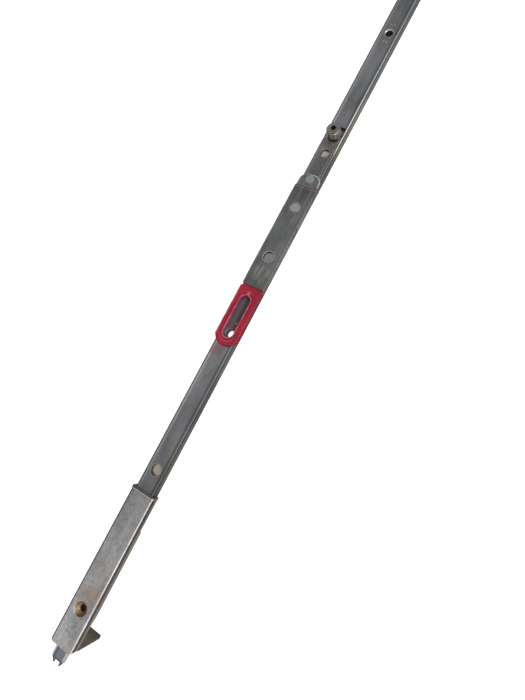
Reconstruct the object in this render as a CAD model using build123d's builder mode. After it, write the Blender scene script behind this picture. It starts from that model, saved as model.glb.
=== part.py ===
from build123d import *
import math
import os

# Window espagnolette gearbox, in millimetres.
# +X runs up the bar, +Z comes out of its front face, and the origin is the spindle's axis.
# Heights are measured up from the lower end of the end housing, and depths back from the rail's front face.

os.makedirs("parts", exist_ok=True)

# Frame of the model
spindle_height = 672.0

# Gearing: half a turn of the spindle drives the whole travel
tooth_module = 1.25
tooth_count = 14
pressure_angle = math.radians(20.0)
spindle_turn = math.radians(180.0)
gear_addendum = 1.25
gear_dedendum = 1.35
rack_addendum = 1.0
rack_dedendum = 1.56
rack_back_thickness = 1.19
tooth_thinning = 0.1
gear_face_width = 8.0
gear_side_gap = 0.5
gear_floor_gap = 1.5
gear_journal_radius = 6.0
spindle_square = 7.0
rack_half_width = 2.5
rack_spare_teeth = 2
flank_points = 5

# Sheet channel that is the faceplate
rail_lower_end = 3.0
rail_above_top_bush = 15.0
rail_width = 17.0
rail_depth = 7.5
rail_wall = 1.2
rail_bend_radius = 1.6
recess_width = 13.4
recess_side_slope = 1.1
recess_depth = 0.35
sight_hole_height = 142.4
sight_hole_radius = 4.5
carriage_slot_corner = 1.5
well_floor_depth = 1.5
well_pit_above_bush = 8.9
well_pit_aside = 1.2
well_pit_radius = 0.7
well_pit_depth = 0.5

# End housing and foot plate
housing_length = 125.0
housing_side_gap = 0.7
housing_sheet = 1.3
housing_bend_radius = 2.0
housing_corner_radius = 2.5
housing_side_depth = 5.65
housing_skirt_depth = 7.5
skirt_lower_end = 28.0
skirt_upper_end = 96.0
skirt_ramp = 6.0
end_lip_length = 2.6
end_lip_height = 0.3
end_bevel_length = 1.8
end_bevel_height = 1.3
dimple_depth = 2.4
dimple_gap = 0.25
countersink_radius = 5.5
foot_lower_face = 1.0
foot_thickness = 2.0
foot_width = 21.4
foot_shoulder_gap = 0.35
foot_depth = 35.5
foot_corner_radius = 2.0
foot_hole_depth = 22.0
foot_hole_radius = 2.25

# Screw bushes between the faceplate and the bottom of the sash groove
lower_bush_height = 29.9
middle_bush_height = 261.3
upper_bush_height = 548.8
top_bush_above_spindle = 108.0
bush_radius = 3.5
bush_bore_radius = 2.5
lower_bush_tail = 2.0
bush_head_radius = 4.3
upper_bush_bore_radius = 2.9
upper_bush_cone_radius = 4.0
upper_bush_cone_angle = 120.0
middle_bush_radius = 4.0
middle_bush_bore_radius = 3.1
middle_bush_cone_radius = 3.7
cone_angle = 90.0
stake_offset = 8.5
stake_aside = 1.4
stake_radius = 0.55
stake_depth = 0.35

# Rod guides, which are plastic loops inside the channel
guide_above_lower_bush = 45.1
guide_below_middle_bush = 61.3
guide_above_carriage_slot = 25.7
guide_below_spindle = 72.0
guide_above_spindle = 58.0
guide_length = 13.0
guide_fit = 0.1
guide_side_wall = 1.4

# Drive rod and its forked end
rod_thickness = 2.5
rod_lower_end = 23.0
rod_end_gap = 11.5
rod_end_corner = 1.5
tongue_lower_end = 5.0
tongue_side_gap = 0.1
fork_tip = -15.3
fork_notch_end = -12.8
fork_notch_width = 4.4
fork_slope_start = -8.8
fork_slope_end = -14.2
fork_upper_end = 20.0
fork_wall = 1.6
fork_web_thickness = 1.3
fork_flange_depth = 3.4
fork_bevel_length = 4.6
fork_bevel_width = 2.6
fork_rivet_height = 14.0
fork_rivet_radius = 2.0

# Carriage in the rail's slot
spacer_overhang = 2.0
spacer_setback = 3.8
spacer_width = 10.0
carriage_setback = 66.0
carriage_length = 85.8
carriage_taper = 8.7
carriage_tip_width = 2.6
carriage_width = 12.2
carriage_face_height = 0.3
carriage_back_depth = 1.5
carriage_hole_setback = 25.6
carriage_hole_radius = 3.7

# Cover plate with its joggled tongue and side tabs
cover_above_bush = 40.7
cover_length = 93.0
cover_sheet = 1.0
cover_width = 19.2
cover_joggle = 0.5
joggle_length = 2.0
cover_tongue_length = 11.5
cover_tongue_width = 18.2
cover_tongue_corner = 6.5
catch_length = 5.5
catch_width = 12.0
long_tab_setback = 7.0
long_tab_length = 40.7
short_tab_setback = 57.2
short_tab_length = 14.7
tab_side_gap = 0.3
tab_thickness = 0.9
tab_depth = 2.8
cover_hole_setback = 27.2
cover_hole_radius = 4.6
tongue_rivet_setback = 4.5
cover_rivet_setback = 20.0
rivet_head_radius = 3.8
rivet_shank_radius = 2.5

# Slide with the raised rim
slide_below_bush = 11.6
slide_shoulder_length = 6.7
slide_nose_length = 3.3
slide_nose_width = 15.6
slide_wall = 1.6
slide_wall_depth = 2.8
slide_face_height = 1.9
slide_side_gap = 0.35
slide_edge_round = 1.2
slide_rear_corner = 2.2
slide_slot_width = 9.4
slide_rim_width = 1.5
slide_rim_height = 0.7
slide_rim_round = 0.5
catch_pocket_gap = 0.2

# Cam on the pointed end of the carriage
stud_shank_setback = 8.6
cam_eccentricity = 0.8
stud_shank_radius = 2.5
stud_foot_radius = 3.2
stud_foot_thickness = 0.7
stud_foot_recess = 0.1
stud_foot_gap = 0.2
washer_radius = 5.0
washer_thickness = 0.5
collar_radius = 4.6
collar_thickness = 0.6
cam_pin_radius = 3.5
roller_radius = 6.0
roller_length = 6.2
roller_chamfer = 0.4
stud_head_radius = 4.8
stud_head_thickness = 0.5
stud_ring_radius = 3.0
stud_ring_height = 0.3
hexagon_across_flats = 4.0
hexagon_depth = 3.5
cam_end_gap = 0.1

# Gear case, its sleeves and its rivets
case_wall = 1.5
case_end_gap = 0.7
case_corner_radius = 8.0
lug_round = 5.0
lug_height = 9.0
ear_rivet_setback = 6.5
ear_length = 10.0
ear_depth = 14.0
ear_corner_radius = 3.0
ear_rivet_depth = 10.5
ear_rivet_radius = 2.0
ear_rivet_head_radius = 3.2
ear_rivet_head_height = 0.9
pad_radius = 3.4
handle_screw_spacing = 43.0
handle_screw_radius = 2.75
sleeve_radius = 4.0
sleeve_proud = 0.5
case_rivet_setback = 7.5
case_rivet_low = 6.5
case_rivet_high = 2.5
case_rivet_radius = 1.5
case_rivet_head_radius = 2.4
case_rivet_head_height = 0.6

# Clearances
moving_gap = 0.3
running_fit = 0.05
slot_end_gap = 0.5
spacer_end_gap = 1.0
cut_margin = 1.0


def up(height):
    """X of a place at this height above the lower end of the end housing."""
    return height - spindle_height


def behind(depth):
    """Z of a place at this depth behind the rail's front face."""
    return backset - depth


def ahead(height):
    """Z of a place this far in front of the rail's front face."""
    return backset + height


def bar(start, end, half_width, top, bottom, mode=Mode.ADD):
    """Straight bar about the centre plane, from X start to end and from Z top down to bottom."""
    with Locations(((start + end) / 2, 0, (top + bottom) / 2)):
        Box(end - start, 2 * half_width, top - bottom, mode=mode)


def upright(x, radius, top, bottom, mode=Mode.ADD):
    """Round pin or hole on the centre plane, along Z from top down to bottom."""
    with Locations((x, 0, top)):
        Cylinder(radius, top - bottom, align=(Align.CENTER, Align.CENTER, Align.MAX), mode=mode)


def crosswise(x, z, radius, start, end, mode=Mode.ADD):
    """Round pin or hole along Y, from start to end."""
    with Locations((x, (start + end) / 2, z)):
        Cylinder(radius, end - start, rotation=(90, 0, 0), mode=mode)


def travel_slot(height, width, mode=Mode.ADD):
    """Slot from the place at this height up over the whole travel, with round ends."""
    with Locations((up(height) + rod_travel / 2, 0)):
        SlotCenterToCenter(rod_travel, width, mode=mode)


# Values that follow from the driving dimensions
pitch_radius = tooth_module * tooth_count / 2
base_radius = pitch_radius * math.cos(pressure_angle)
tooth_pitch = math.pi * tooth_module
tooth_thickness = tooth_pitch / 2 - tooth_thinning
rod_travel = spindle_turn * pitch_radius
rail_inner_half = rail_width / 2 - rail_wall
well_back_depth = well_floor_depth + rail_wall
rod_face_depth = well_back_depth + moving_gap
rod_back_depth = rod_face_depth + rod_thickness
rod_width = 2 * (rail_inner_half - guide_side_wall - guide_fit)
top_bush_height = spindle_height + top_bush_above_spindle
rail_upper_end = top_bush_height + rail_above_top_bush
rod_upper_end = top_bush_height - bush_radius - rod_end_gap
backset = pitch_radius + rack_dedendum + rack_back_thickness + rod_back_depth
slide_tip = middle_bush_height - slide_below_bush
slide_nose_start = slide_tip + slide_nose_length
slide_shoulder = slide_tip + slide_shoulder_length
cover_lower_end = middle_bush_height + cover_above_bush
cover_upper_end = cover_lower_end + cover_length
cover_tongue_end = cover_upper_end + cover_tongue_length
catch_lower_end = cover_lower_end - catch_length
long_tab_start = cover_lower_end + long_tab_setback
short_tab_start = cover_lower_end + short_tab_setback
tab_spans = (
    (long_tab_start, long_tab_start + long_tab_length),
    (short_tab_start, short_tab_start + short_tab_length),
)
cover_hole_height = cover_lower_end + cover_hole_setback
cover_rivet_height = cover_upper_end - cover_rivet_setback
tongue_rivet_height = cover_tongue_end - tongue_rivet_setback
carriage_lower_end = cover_lower_end + carriage_setback
carriage_tip = carriage_lower_end + carriage_length
carriage_taper_start = carriage_tip - carriage_taper
carriage_hole_height = carriage_tip - carriage_hole_setback
stud_shank_height = carriage_tip - stud_shank_setback
spacer_lower_end = carriage_lower_end - spacer_overhang
spacer_upper_end = carriage_tip - spacer_setback
carriage_slot_lower_end = spacer_lower_end - rod_travel - spacer_end_gap
carriage_slot_width = carriage_width + 2 * moving_gap
carriage_slot_upper_end = carriage_tip + slot_end_gap
well_upper_end = middle_bush_height + rod_travel + slide_slot_width / 2 + rail_wall
guide_heights = (
    lower_bush_height + guide_above_lower_bush,
    middle_bush_height - guide_below_middle_bush,
    (well_upper_end + carriage_slot_lower_end) / 2,
    carriage_slot_upper_end + guide_above_carriage_slot,
    spindle_height - guide_below_spindle,
    spindle_height + guide_above_spindle,
)
housing_inner_half = rail_width / 2 + housing_side_gap
housing_width = 2 * (housing_inner_half + housing_sheet)
foot_shoulder_depth = housing_side_depth + foot_shoulder_gap
dimple_face_radius = countersink_radius + housing_sheet * (math.sqrt(2) - 1)
rod_window_half = rod_width / 2 + moving_gap
fork_width = rod_width
fork_back_depth = rod_back_depth + fork_web_thickness
foot_window_back = fork_back_depth + moving_gap
cover_underside = carriage_face_height + cover_joggle
cover_face = cover_underside + cover_sheet
tongue_face = carriage_face_height + cover_sheet
tab_inner_half = rail_width / 2 + tab_side_gap
tab_width = 2 * (tab_inner_half + tab_thickness)
slide_inner_half = rail_width / 2 + slide_side_gap
slide_width = 2 * (slide_inner_half + slide_wall)
root_radius = pitch_radius - gear_dedendum
outer_radius = pitch_radius + gear_addendum
case_top = behind(rod_back_depth) - moving_gap
case_half_width = gear_face_width / 2 + gear_side_gap + case_wall
case_bottom = -(outer_radius + gear_floor_gap + case_wall)
rack_tip = pitch_radius - rack_addendum
rack_root = pitch_radius + rack_dedendum
rack_overrun = (rack_spare_teeth + 0.5) * tooth_pitch
case_inner_half = rod_travel + rack_overrun + case_end_gap
case_half_length = case_inner_half + case_wall
ear_offset = case_half_length + ear_rivet_setback
lug_end = ear_offset + lug_round
case_rivet_x = case_half_length - case_rivet_setback
case_rivet_places = (
    (-case_rivet_x, -case_rivet_low),
    (-case_rivet_x, case_rivet_high),
    (case_rivet_x, -case_rivet_low),
    (case_rivet_x, case_rivet_high),
)
washer_face = carriage_face_height + washer_thickness
collar_base = washer_face + cam_end_gap
collar_face = collar_base + collar_thickness
roller_base = collar_face + cam_end_gap
head_base = roller_base + roller_length + cam_end_gap
head_face = head_base + stud_head_thickness
cam_height = stud_shank_height + cam_eccentricity
rack_rivet_places = (0.0, rod_travel)

# Guide rail: rolled channel with the shallow recess, the slot, the well and the case's ears
with BuildPart() as guide_rail:
    with BuildSketch(Plane.YZ.offset(up(rail_lower_end))) as rail_section:
        with Locations((0, backset)):
            Rectangle(rail_width, rail_depth, align=(Align.CENTER, Align.MAX))
        fillet(rail_section.vertices().group_by(Axis.Y)[-1], rail_bend_radius)
        with Locations((0, behind(rail_wall))):
            Rectangle(2 * rail_inner_half, rail_depth, align=(Align.CENTER, Align.MAX), mode=Mode.SUBTRACT)
        with BuildLine():
            recess_floor_half = recess_width / 2 - recess_side_slope
            Polyline(
                (-recess_width / 2, backset),
                (-recess_floor_half, behind(recess_depth)),
                (recess_floor_half, behind(recess_depth)),
                (recess_width / 2, backset),
                close=True,
            )
        make_face(mode=Mode.SUBTRACT)
    extrude(amount=rail_upper_end - rail_lower_end)
    with BuildSketch(Plane.XZ) as ear_outline:
        with Locations((-ear_offset, behind(rail_wall)), (ear_offset, behind(rail_wall))):
            Rectangle(ear_length, ear_depth - rail_wall, align=(Align.CENTER, Align.MAX))
        fillet(ear_outline.vertices().group_by(Axis.Y)[0], ear_corner_radius)
    extrude(amount=rail_width / 2, both=True)
    for ear_x in (-ear_offset, ear_offset):
        bar(ear_x - ear_length, ear_x + ear_length, rail_inner_half, behind(rail_wall),
            behind(ear_depth + cut_margin), mode=Mode.SUBTRACT)
        crosswise(ear_x, behind(ear_rivet_depth), ear_rivet_radius, -rail_width, rail_width,
                  mode=Mode.SUBTRACT)
    with BuildSketch(Plane.XY.offset(behind(rail_wall))):
        travel_slot(middle_bush_height, slide_slot_width + 2 * rail_wall)
    extrude(amount=-well_floor_depth)
    with BuildSketch(Plane.XY.offset(backset)):
        travel_slot(middle_bush_height, slide_slot_width)
    extrude(amount=-well_floor_depth, mode=Mode.SUBTRACT)
    with BuildSketch(Plane.XY.offset(backset)):
        with Locations((up((carriage_slot_lower_end + carriage_slot_upper_end) / 2), 0)):
            RectangleRounded(carriage_slot_upper_end - carriage_slot_lower_end, carriage_slot_width,
                             carriage_slot_corner)
    extrude(amount=-rail_wall, mode=Mode.SUBTRACT)
    upright(up(sight_hole_height), sight_hole_radius, backset, behind(rail_wall), mode=Mode.SUBTRACT)
    upright(up(lower_bush_height), dimple_face_radius + dimple_gap, backset, behind(rail_wall),
            mode=Mode.SUBTRACT)
    upright(up(middle_bush_height), middle_bush_radius, behind(well_floor_depth), behind(well_back_depth),
            mode=Mode.SUBTRACT)
    with Locations((up(middle_bush_height + well_pit_above_bush), -well_pit_aside, behind(well_floor_depth))):
        Cylinder(well_pit_radius, well_pit_depth, align=(Align.CENTER, Align.CENTER, Align.MAX),
                 mode=Mode.SUBTRACT)
    for bush_height in (upper_bush_height, top_bush_height):
        upright(up(bush_height), bush_head_radius, backset, behind(rail_wall), mode=Mode.SUBTRACT)
        for stake_height in (bush_height - stake_offset, bush_height + stake_offset):
            with Locations((up(stake_height), -stake_aside, behind(recess_depth)),
                           (up(stake_height), stake_aside, behind(recess_depth))):
                Cylinder(stake_radius, stake_depth, align=(Align.CENTER, Align.CENTER, Align.MAX),
                         mode=Mode.SUBTRACT)
guide_rail.part.label = "guide_rail"
export_step(guide_rail.part, "parts/guide_rail.step")

# End housing: pressed cap over the rail's lower end, with a dimpled countersink
with BuildPart() as end_housing:
    with BuildSketch(Plane.YZ.offset(up(0))) as housing_section:
        with Locations((0, ahead(housing_sheet))):
            Rectangle(housing_width, housing_sheet + housing_skirt_depth, align=(Align.CENTER, Align.MAX))
        fillet(housing_section.vertices().group_by(Axis.Y)[-1], housing_bend_radius)
    extrude(amount=housing_length)
    with BuildSketch(Plane.YZ.offset(up(housing_length - end_lip_length))) as lip_section:
        with Locations((0, ahead(housing_sheet + end_lip_height))):
            Rectangle(housing_width + 2 * end_lip_height,
                      housing_sheet + end_lip_height + housing_side_depth, align=(Align.CENTER, Align.MAX))
        fillet(lip_section.vertices().group_by(Axis.Y)[-1], housing_bend_radius)
    extrude(amount=end_lip_length)
    with BuildSketch(Plane.XY.offset(ahead(housing_sheet + end_lip_height))) as housing_plan:
        with Locations((up(0), 0)):
            Rectangle(housing_length, housing_width, align=(Align.MIN, Align.CENTER))
        fillet(housing_plan.vertices().group_by(Axis.X)[0], housing_corner_radius)
        with Locations((up(housing_length), 0)):
            Rectangle(end_lip_length, housing_width + 2 * end_lip_height, align=(Align.MAX, Align.CENTER))
    extrude(amount=-(housing_sheet + end_lip_height + housing_skirt_depth), mode=Mode.INTERSECT)
    bar(up(-cut_margin), up(housing_length + cut_margin), housing_inner_half, backset,
        behind(housing_skirt_depth + cut_margin), mode=Mode.SUBTRACT)
    with BuildSketch(Plane.XZ):
        with BuildLine():
            Polyline(
                (up(0), behind(housing_side_depth)),
                (up(skirt_lower_end - skirt_ramp), behind(housing_side_depth)),
                (up(skirt_lower_end), behind(housing_skirt_depth)),
                (up(0), behind(housing_skirt_depth)),
                close=True,
            )
        make_face()
        with Locations((up(skirt_upper_end), behind(housing_side_depth))):
            Rectangle(housing_length - skirt_upper_end, housing_skirt_depth - housing_side_depth,
                      align=(Align.MIN, Align.MAX))
        with BuildLine():
            Polyline(
                (up(housing_length - end_bevel_length), ahead(housing_sheet + end_lip_height)),
                (up(housing_length), ahead(housing_sheet + end_lip_height)),
                (up(housing_length), ahead(housing_sheet + end_lip_height - end_bevel_height)),
                close=True,
            )
        make_face()
    extrude(amount=housing_width, both=True, mode=Mode.SUBTRACT)
    with BuildSketch(Plane.XY.offset(backset)):
        with Locations((up(lower_bush_height), 0)):
            Circle(dimple_face_radius)
    extrude(amount=-dimple_depth, taper=cone_angle / 2)
    with Locations((up(lower_bush_height), 0, ahead(housing_sheet))):
        CounterSinkHole(bush_bore_radius, countersink_radius, housing_sheet + dimple_depth, cone_angle)
end_housing.part.label = "end_housing"
export_step(end_housing.part, "parts/end_housing.step")

# Foot plate: square to the bar, with a window for the fork and the rod
with BuildPart() as foot_plate:
    with BuildSketch(Plane.YZ.offset(up(foot_lower_face))) as foot_outline:
        with Locations((0, behind(foot_shoulder_depth))):
            Rectangle(foot_width, foot_depth - foot_shoulder_depth, align=(Align.CENTER, Align.MAX))
        fillet(foot_outline.vertices().group_by(Axis.Y)[0], foot_corner_radius)
        with Locations((0, backset)):
            Rectangle(2 * housing_inner_half, foot_shoulder_depth, align=(Align.CENTER, Align.MAX))
        with Locations((0, behind(rod_face_depth - moving_gap))):
            Rectangle(2 * rod_window_half, foot_window_back - rod_face_depth + moving_gap,
                      align=(Align.CENTER, Align.MAX), mode=Mode.SUBTRACT)
        with Locations((0, behind(foot_hole_depth))):
            Circle(foot_hole_radius, mode=Mode.SUBTRACT)
    extrude(amount=foot_thickness)
foot_plate.part.label = "foot_plate"
export_step(foot_plate.part, "parts/foot_plate.step")

# Rod guides: loops that fill the channel's width and carry the rod
with BuildPart() as rod_guides:
    for guide_height in guide_heights:
        guide_start = up(guide_height - guide_length / 2)
        bar(guide_start, guide_start + guide_length, rail_inner_half, behind(rail_wall), behind(rail_depth))
        bar(guide_start, guide_start + guide_length, rod_width / 2 + guide_fit,
            behind(rod_face_depth - guide_fit), behind(rod_back_depth + guide_fit), mode=Mode.SUBTRACT)
rod_guides.part.label = "rod_guides"
export_step(rod_guides.part, "parts/rod_guides.step")

# Screw bush under the housing's countersink, with a tail that stands out behind the channel
with BuildPart() as screw_bush_lower:
    upright(up(lower_bush_height), bush_radius, behind(dimple_depth), behind(rail_depth + lower_bush_tail))
    upright(up(lower_bush_height), bush_bore_radius, behind(dimple_depth),
            behind(rail_depth + lower_bush_tail), mode=Mode.SUBTRACT)
screw_bush_lower.part.label = "screw_bush_lower"
export_step(screw_bush_lower.part, "parts/screw_bush_lower.step")

# Screw bush in the floor of the rail's well
with BuildPart() as screw_bush_middle:
    upright(up(middle_bush_height), middle_bush_radius, behind(well_floor_depth), behind(rail_depth))
    with Locations((up(middle_bush_height), 0, behind(well_floor_depth))):
        CounterSinkHole(middle_bush_bore_radius, middle_bush_cone_radius, rail_depth - well_floor_depth,
                        cone_angle)
screw_bush_middle.part.label = "screw_bush_middle"
export_step(screw_bush_middle.part, "parts/screw_bush_middle.step")

# Screw bushes staked into the upper faceplate
with BuildPart() as screw_bushes_upper:
    for bush_height in (upper_bush_height, top_bush_height):
        upright(up(bush_height), bush_head_radius, behind(recess_depth), behind(rail_wall))
        upright(up(bush_height), bush_radius, behind(rail_wall), behind(rail_depth))
        with Locations((up(bush_height), 0, behind(recess_depth))):
            CounterSinkHole(upper_bush_bore_radius, upper_bush_cone_radius, rail_depth - recess_depth,
                            upper_bush_cone_angle)
screw_bushes_upper.part.label = "screw_bushes_upper"
export_step(screw_bushes_upper.part, "parts/screw_bushes_upper.step")

# Gear case: two cast halves that meet on the centre plane, open to the rod at the front
for side, case_name in ((1, "gear_case_left"), (-1, "gear_case_right")):
    with BuildPart() as case_half:
        with BuildSketch(Plane.XZ) as case_outline:
            with Locations((0, case_top)):
                Rectangle(2 * case_half_length, case_top - case_bottom, align=(Align.CENTER, Align.MAX))
            fillet(case_outline.vertices().group_by(Axis.Y)[0], case_corner_radius)
            with Locations((0, case_top)):
                Rectangle(2 * lug_end, lug_height, align=(Align.CENTER, Align.MAX))
        extrude(amount=-side * case_half_width)
        with BuildSketch(Plane.XZ) as case_hollow:
            with Locations((0, case_top)):
                Rectangle(2 * case_inner_half, case_top - case_bottom - case_wall,
                          align=(Align.CENTER, Align.MAX))
            fillet(case_hollow.vertices().group_by(Axis.Y)[0], case_corner_radius - case_wall)
        extrude(amount=-side * (case_half_width - case_wall), mode=Mode.SUBTRACT)
        with BuildSketch(Plane.XZ):
            with Locations((-ear_offset, behind(ear_rivet_depth)), (ear_offset, behind(ear_rivet_depth))):
                Circle(pad_radius)
        extrude(amount=-side * rail_inner_half)
        with BuildSketch(Plane.XZ):
            Circle(gear_journal_radius + running_fit)
            with Locations((-handle_screw_spacing / 2, 0), (handle_screw_spacing / 2, 0)):
                Circle(sleeve_radius)
            with Locations(*case_rivet_places):
                Circle(case_rivet_radius)
            with Locations((-ear_offset, behind(ear_rivet_depth)), (ear_offset, behind(ear_rivet_depth))):
                Circle(ear_rivet_radius)
        extrude(amount=-side * rail_width, mode=Mode.SUBTRACT)
    case_half.part.label = case_name
    export_step(case_half.part, f"parts/{case_name}.step")

# Screw sleeves: tubes through the case for the two handle screws
with BuildPart() as screw_sleeves:
    for sleeve_x in (-handle_screw_spacing / 2, handle_screw_spacing / 2):
        sleeve_half = case_half_width + sleeve_proud
        crosswise(sleeve_x, 0, sleeve_radius, -sleeve_half, sleeve_half)
        crosswise(sleeve_x, 0, handle_screw_radius, -sleeve_half, sleeve_half, mode=Mode.SUBTRACT)
screw_sleeves.part.label = "screw_sleeves"
export_step(screw_sleeves.part, "parts/screw_sleeves.step")

# Rivets that close the case
with BuildPart() as case_rivets:
    for rivet_x, rivet_z in case_rivet_places:
        crosswise(rivet_x, rivet_z, case_rivet_radius, -case_half_width, case_half_width)
        head_end = case_half_width + case_rivet_head_height
        crosswise(rivet_x, rivet_z, case_rivet_head_radius, case_half_width, head_end)
        crosswise(rivet_x, rivet_z, case_rivet_head_radius, -head_end, -case_half_width)
case_rivets.part.label = "case_rivets"
export_step(case_rivets.part, "parts/case_rivets.step")

# Rivets that hold the case between the rail's ears
with BuildPart() as case_mount_rivets:
    for rivet_x in (-ear_offset, ear_offset):
        crosswise(rivet_x, behind(ear_rivet_depth), ear_rivet_radius, -rail_width / 2, rail_width / 2)
        head_end = rail_width / 2 + ear_rivet_head_height
        crosswise(rivet_x, behind(ear_rivet_depth), ear_rivet_head_radius, rail_width / 2, head_end)
        crosswise(rivet_x, behind(ear_rivet_depth), ear_rivet_head_radius, -head_end, -rail_width / 2)
case_mount_rivets.part.label = "case_mount_rivets"
export_step(case_mount_rivets.part, "parts/case_mount_rivets.step")

# Drive rod: flat bar with a slot for each screw bush that it passes
with BuildPart() as drive_rod:
    with BuildSketch(Plane.XY.offset(behind(rod_face_depth))) as rod_outline:
        with Locations((up(rod_lower_end), 0)):
            Rectangle(rod_upper_end - rod_lower_end, rod_width, align=(Align.MIN, Align.CENTER))
        chamfer(rod_outline.vertices(), rod_end_corner)
        with Locations((up(tongue_lower_end), 0)):
            Rectangle(rod_lower_end - tongue_lower_end, fork_width - 2 * fork_wall - 2 * tongue_side_gap,
                      align=(Align.MIN, Align.CENTER))
        travel_slot(lower_bush_height, 2 * (bush_radius + moving_gap), Mode.SUBTRACT)
        travel_slot(middle_bush_height, 2 * (middle_bush_radius + moving_gap), Mode.SUBTRACT)
        travel_slot(upper_bush_height, 2 * (bush_radius + moving_gap), Mode.SUBTRACT)
        with Locations((up(fork_rivet_height), 0)):
            Circle(fork_rivet_radius, mode=Mode.SUBTRACT)
        with Locations((up(cover_rivet_height), 0), (up(tongue_rivet_height), 0)):
            Circle(rivet_shank_radius, mode=Mode.SUBTRACT)
        with Locations((up(stud_shank_height), 0)):
            Circle(stud_shank_radius + running_fit, mode=Mode.SUBTRACT)
        with Locations(*[(rivet_x, 0) for rivet_x in rack_rivet_places]):
            Circle(case_rivet_radius, mode=Mode.SUBTRACT)
    extrude(amount=-rod_thickness)
    upright(up(stud_shank_height), stud_foot_radius + stud_foot_gap,
            behind(rod_back_depth - stud_foot_thickness - 2 * stud_foot_recess), behind(rod_back_depth),
            mode=Mode.SUBTRACT)
drive_rod.part.label = "drive_rod"
export_step(drive_rod.part, "parts/drive_rod.step")

# Fork end: U section under the rod's tongue, with two sloped prongs
with BuildPart() as fork_end:
    with BuildSketch(Plane.YZ.offset(up(fork_tip))):
        with Locations((0, behind(fork_flange_depth))):
            Rectangle(fork_width, fork_back_depth - fork_flange_depth, align=(Align.CENTER, Align.MAX))
            Rectangle(fork_width - 2 * fork_wall, rod_back_depth - fork_flange_depth,
                      align=(Align.CENTER, Align.MAX), mode=Mode.SUBTRACT)
    extrude(amount=fork_upper_end - fork_tip)
    bar(up(fork_tip), up(fork_notch_end), fork_notch_width / 2, behind(fork_flange_depth),
        behind(fork_back_depth), mode=Mode.SUBTRACT)
    for side in (1, -1):
        with BuildSketch(Plane.XY.offset(behind(fork_flange_depth))):
            with BuildLine():
                Polyline(
                    (up(fork_tip), side * (fork_width / 2 - fork_bevel_width)),
                    (up(fork_tip + fork_bevel_length), side * fork_width / 2),
                    (up(fork_tip), side * fork_width / 2),
                    close=True,
                )
            make_face()
        extrude(amount=fork_flange_depth - fork_back_depth, mode=Mode.SUBTRACT)
    with BuildSketch(Plane.XZ):
        with BuildLine():
            Polyline(
                (up(fork_tip), behind(fork_flange_depth)),
                (up(fork_slope_start), behind(fork_flange_depth)),
                (up(fork_slope_end), behind(rod_back_depth)),
                (up(fork_tip), behind(rod_back_depth)),
                close=True,
            )
        make_face()
    extrude(amount=fork_width / 2, both=True, mode=Mode.SUBTRACT)
    upright(up(fork_rivet_height), fork_rivet_radius, behind(rod_back_depth), behind(fork_back_depth),
            mode=Mode.SUBTRACT)
fork_end.part.label = "fork_end"
export_step(fork_end.part, "parts/fork_end.step")

# Rivet through the tongue and the fork's web
with BuildPart() as fork_rivet:
    upright(up(fork_rivet_height), fork_rivet_radius, behind(rod_face_depth), behind(fork_back_depth))
fork_rivet.part.label = "fork_rivet"
export_step(fork_rivet.part, "parts/fork_rivet.step")

# Carriage spacer: packing bar between the rod and the carriage plate
with BuildPart() as carriage_spacer:
    bar(up(spacer_lower_end), up(spacer_upper_end), spacer_width / 2, behind(carriage_back_depth),
        behind(rod_face_depth))
    for rivet_height in (cover_rivet_height, tongue_rivet_height):
        upright(up(rivet_height), rivet_shank_radius, behind(carriage_back_depth), behind(rod_face_depth),
                mode=Mode.SUBTRACT)
    upright(up(stud_shank_height), stud_shank_radius + running_fit, behind(carriage_back_depth),
            behind(rod_face_depth), mode=Mode.SUBTRACT)
carriage_spacer.part.label = "carriage_spacer"
export_step(carriage_spacer.part, "parts/carriage_spacer.step")

# Carriage plate: fills the slot and ends in the point that carries the cam
with BuildPart() as carriage_plate:
    with BuildSketch(Plane.XY.offset(ahead(carriage_face_height))):
        with BuildLine():
            Polyline(
                (up(carriage_lower_end), -carriage_width / 2),
                (up(carriage_taper_start), -carriage_width / 2),
                (up(carriage_tip), -carriage_tip_width / 2),
                (up(carriage_tip), carriage_tip_width / 2),
                (up(carriage_taper_start), carriage_width / 2),
                (up(carriage_lower_end), carriage_width / 2),
                close=True,
            )
        make_face()
        with Locations((up(carriage_hole_height), 0)):
            Circle(carriage_hole_radius, mode=Mode.SUBTRACT)
        with Locations((up(cover_rivet_height), 0), (up(tongue_rivet_height), 0)):
            Circle(rivet_shank_radius, mode=Mode.SUBTRACT)
        with Locations((up(stud_shank_height), 0)):
            Circle(stud_shank_radius + running_fit, mode=Mode.SUBTRACT)
    extrude(amount=-(carriage_face_height + carriage_back_depth))
carriage_plate.part.label = "carriage_plate"
export_step(carriage_plate.part, "parts/carriage_plate.step")

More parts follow.
